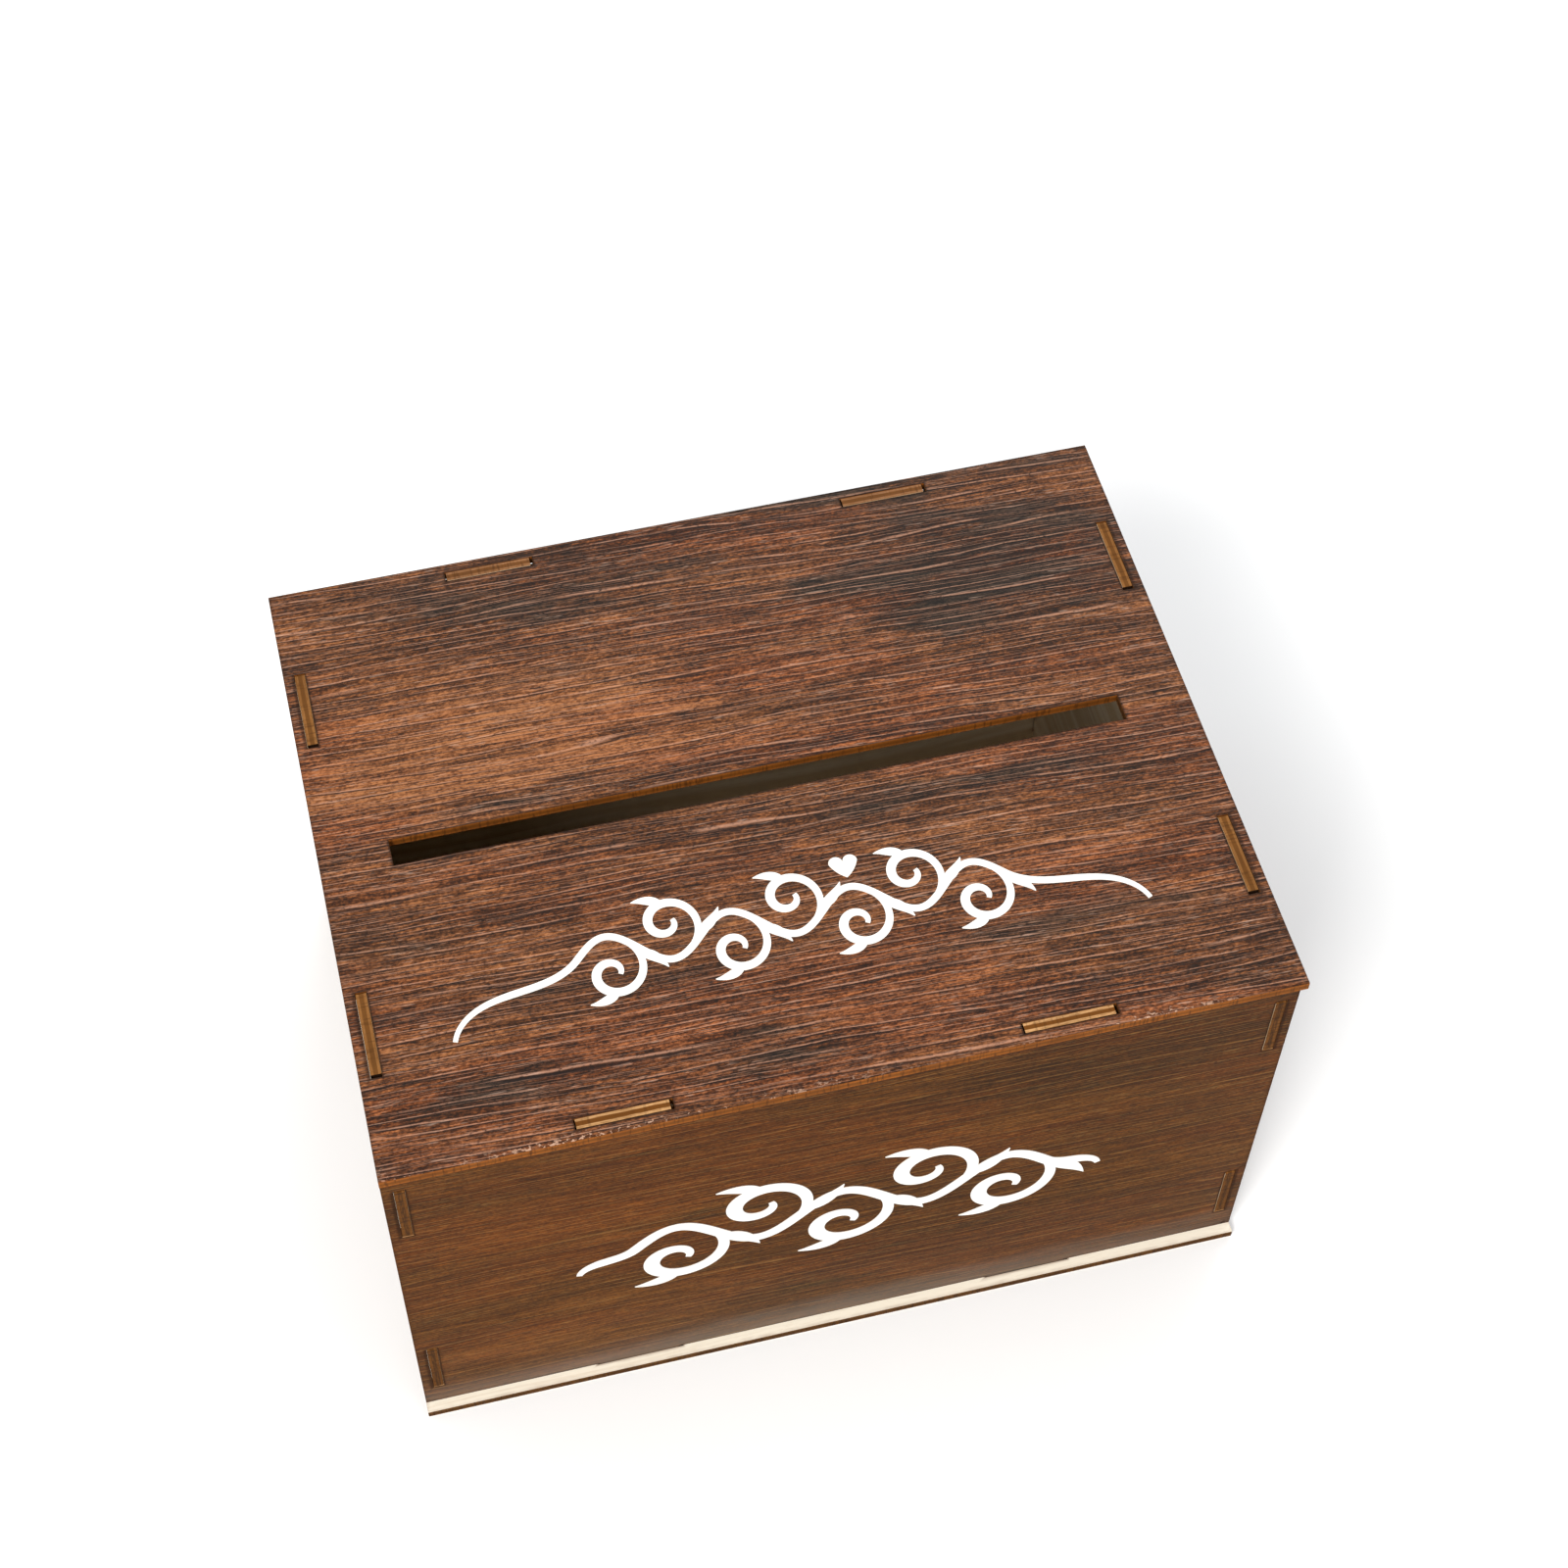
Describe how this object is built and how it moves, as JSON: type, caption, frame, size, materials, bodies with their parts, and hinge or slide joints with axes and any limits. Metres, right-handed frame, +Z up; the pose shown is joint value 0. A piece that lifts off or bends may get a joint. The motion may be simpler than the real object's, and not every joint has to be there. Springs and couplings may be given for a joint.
{
  "type": "wedding card box",
  "caption": "Rectangular plywood card box with tabbed panels, a long card slot in its lift-off lid and white vine ornaments.",
  "frame": {"origin": "middle of the underside, on the surface the box stands on", "axes": "+Z up, +X along the long side and the card slot, -Y is the front"},
  "size_m": [0.25, 0.195, 0.1512],
  "materials": {
    "walnut_ply": "dark embossed walnut-grain film on 3 mm ply, laser-cut edges",
    "bare_ply": "bare pale ply with scorched edges",
    "white_vinyl": "matte cut vinyl"
  },
  "bodies": {
    "box": {"base_panel": "bare_ply", "front_panel": "walnut_ply", "back_panel": "walnut_ply", "left_panel": "walnut_ply", "right_panel": "walnut_ply", "front_vine": "white_vinyl"},
    "lid": {"top_panel": "walnut_ply", "top_vine": "white_vinyl", "top_heart": "white_vinyl"}
  },
  "joints": [
    {"name": "lid_lift", "type": "slide", "parent": "box", "child": "lid", "axis": [0, 0, 1], "range_m": [0, 0.06]}
  ]
}
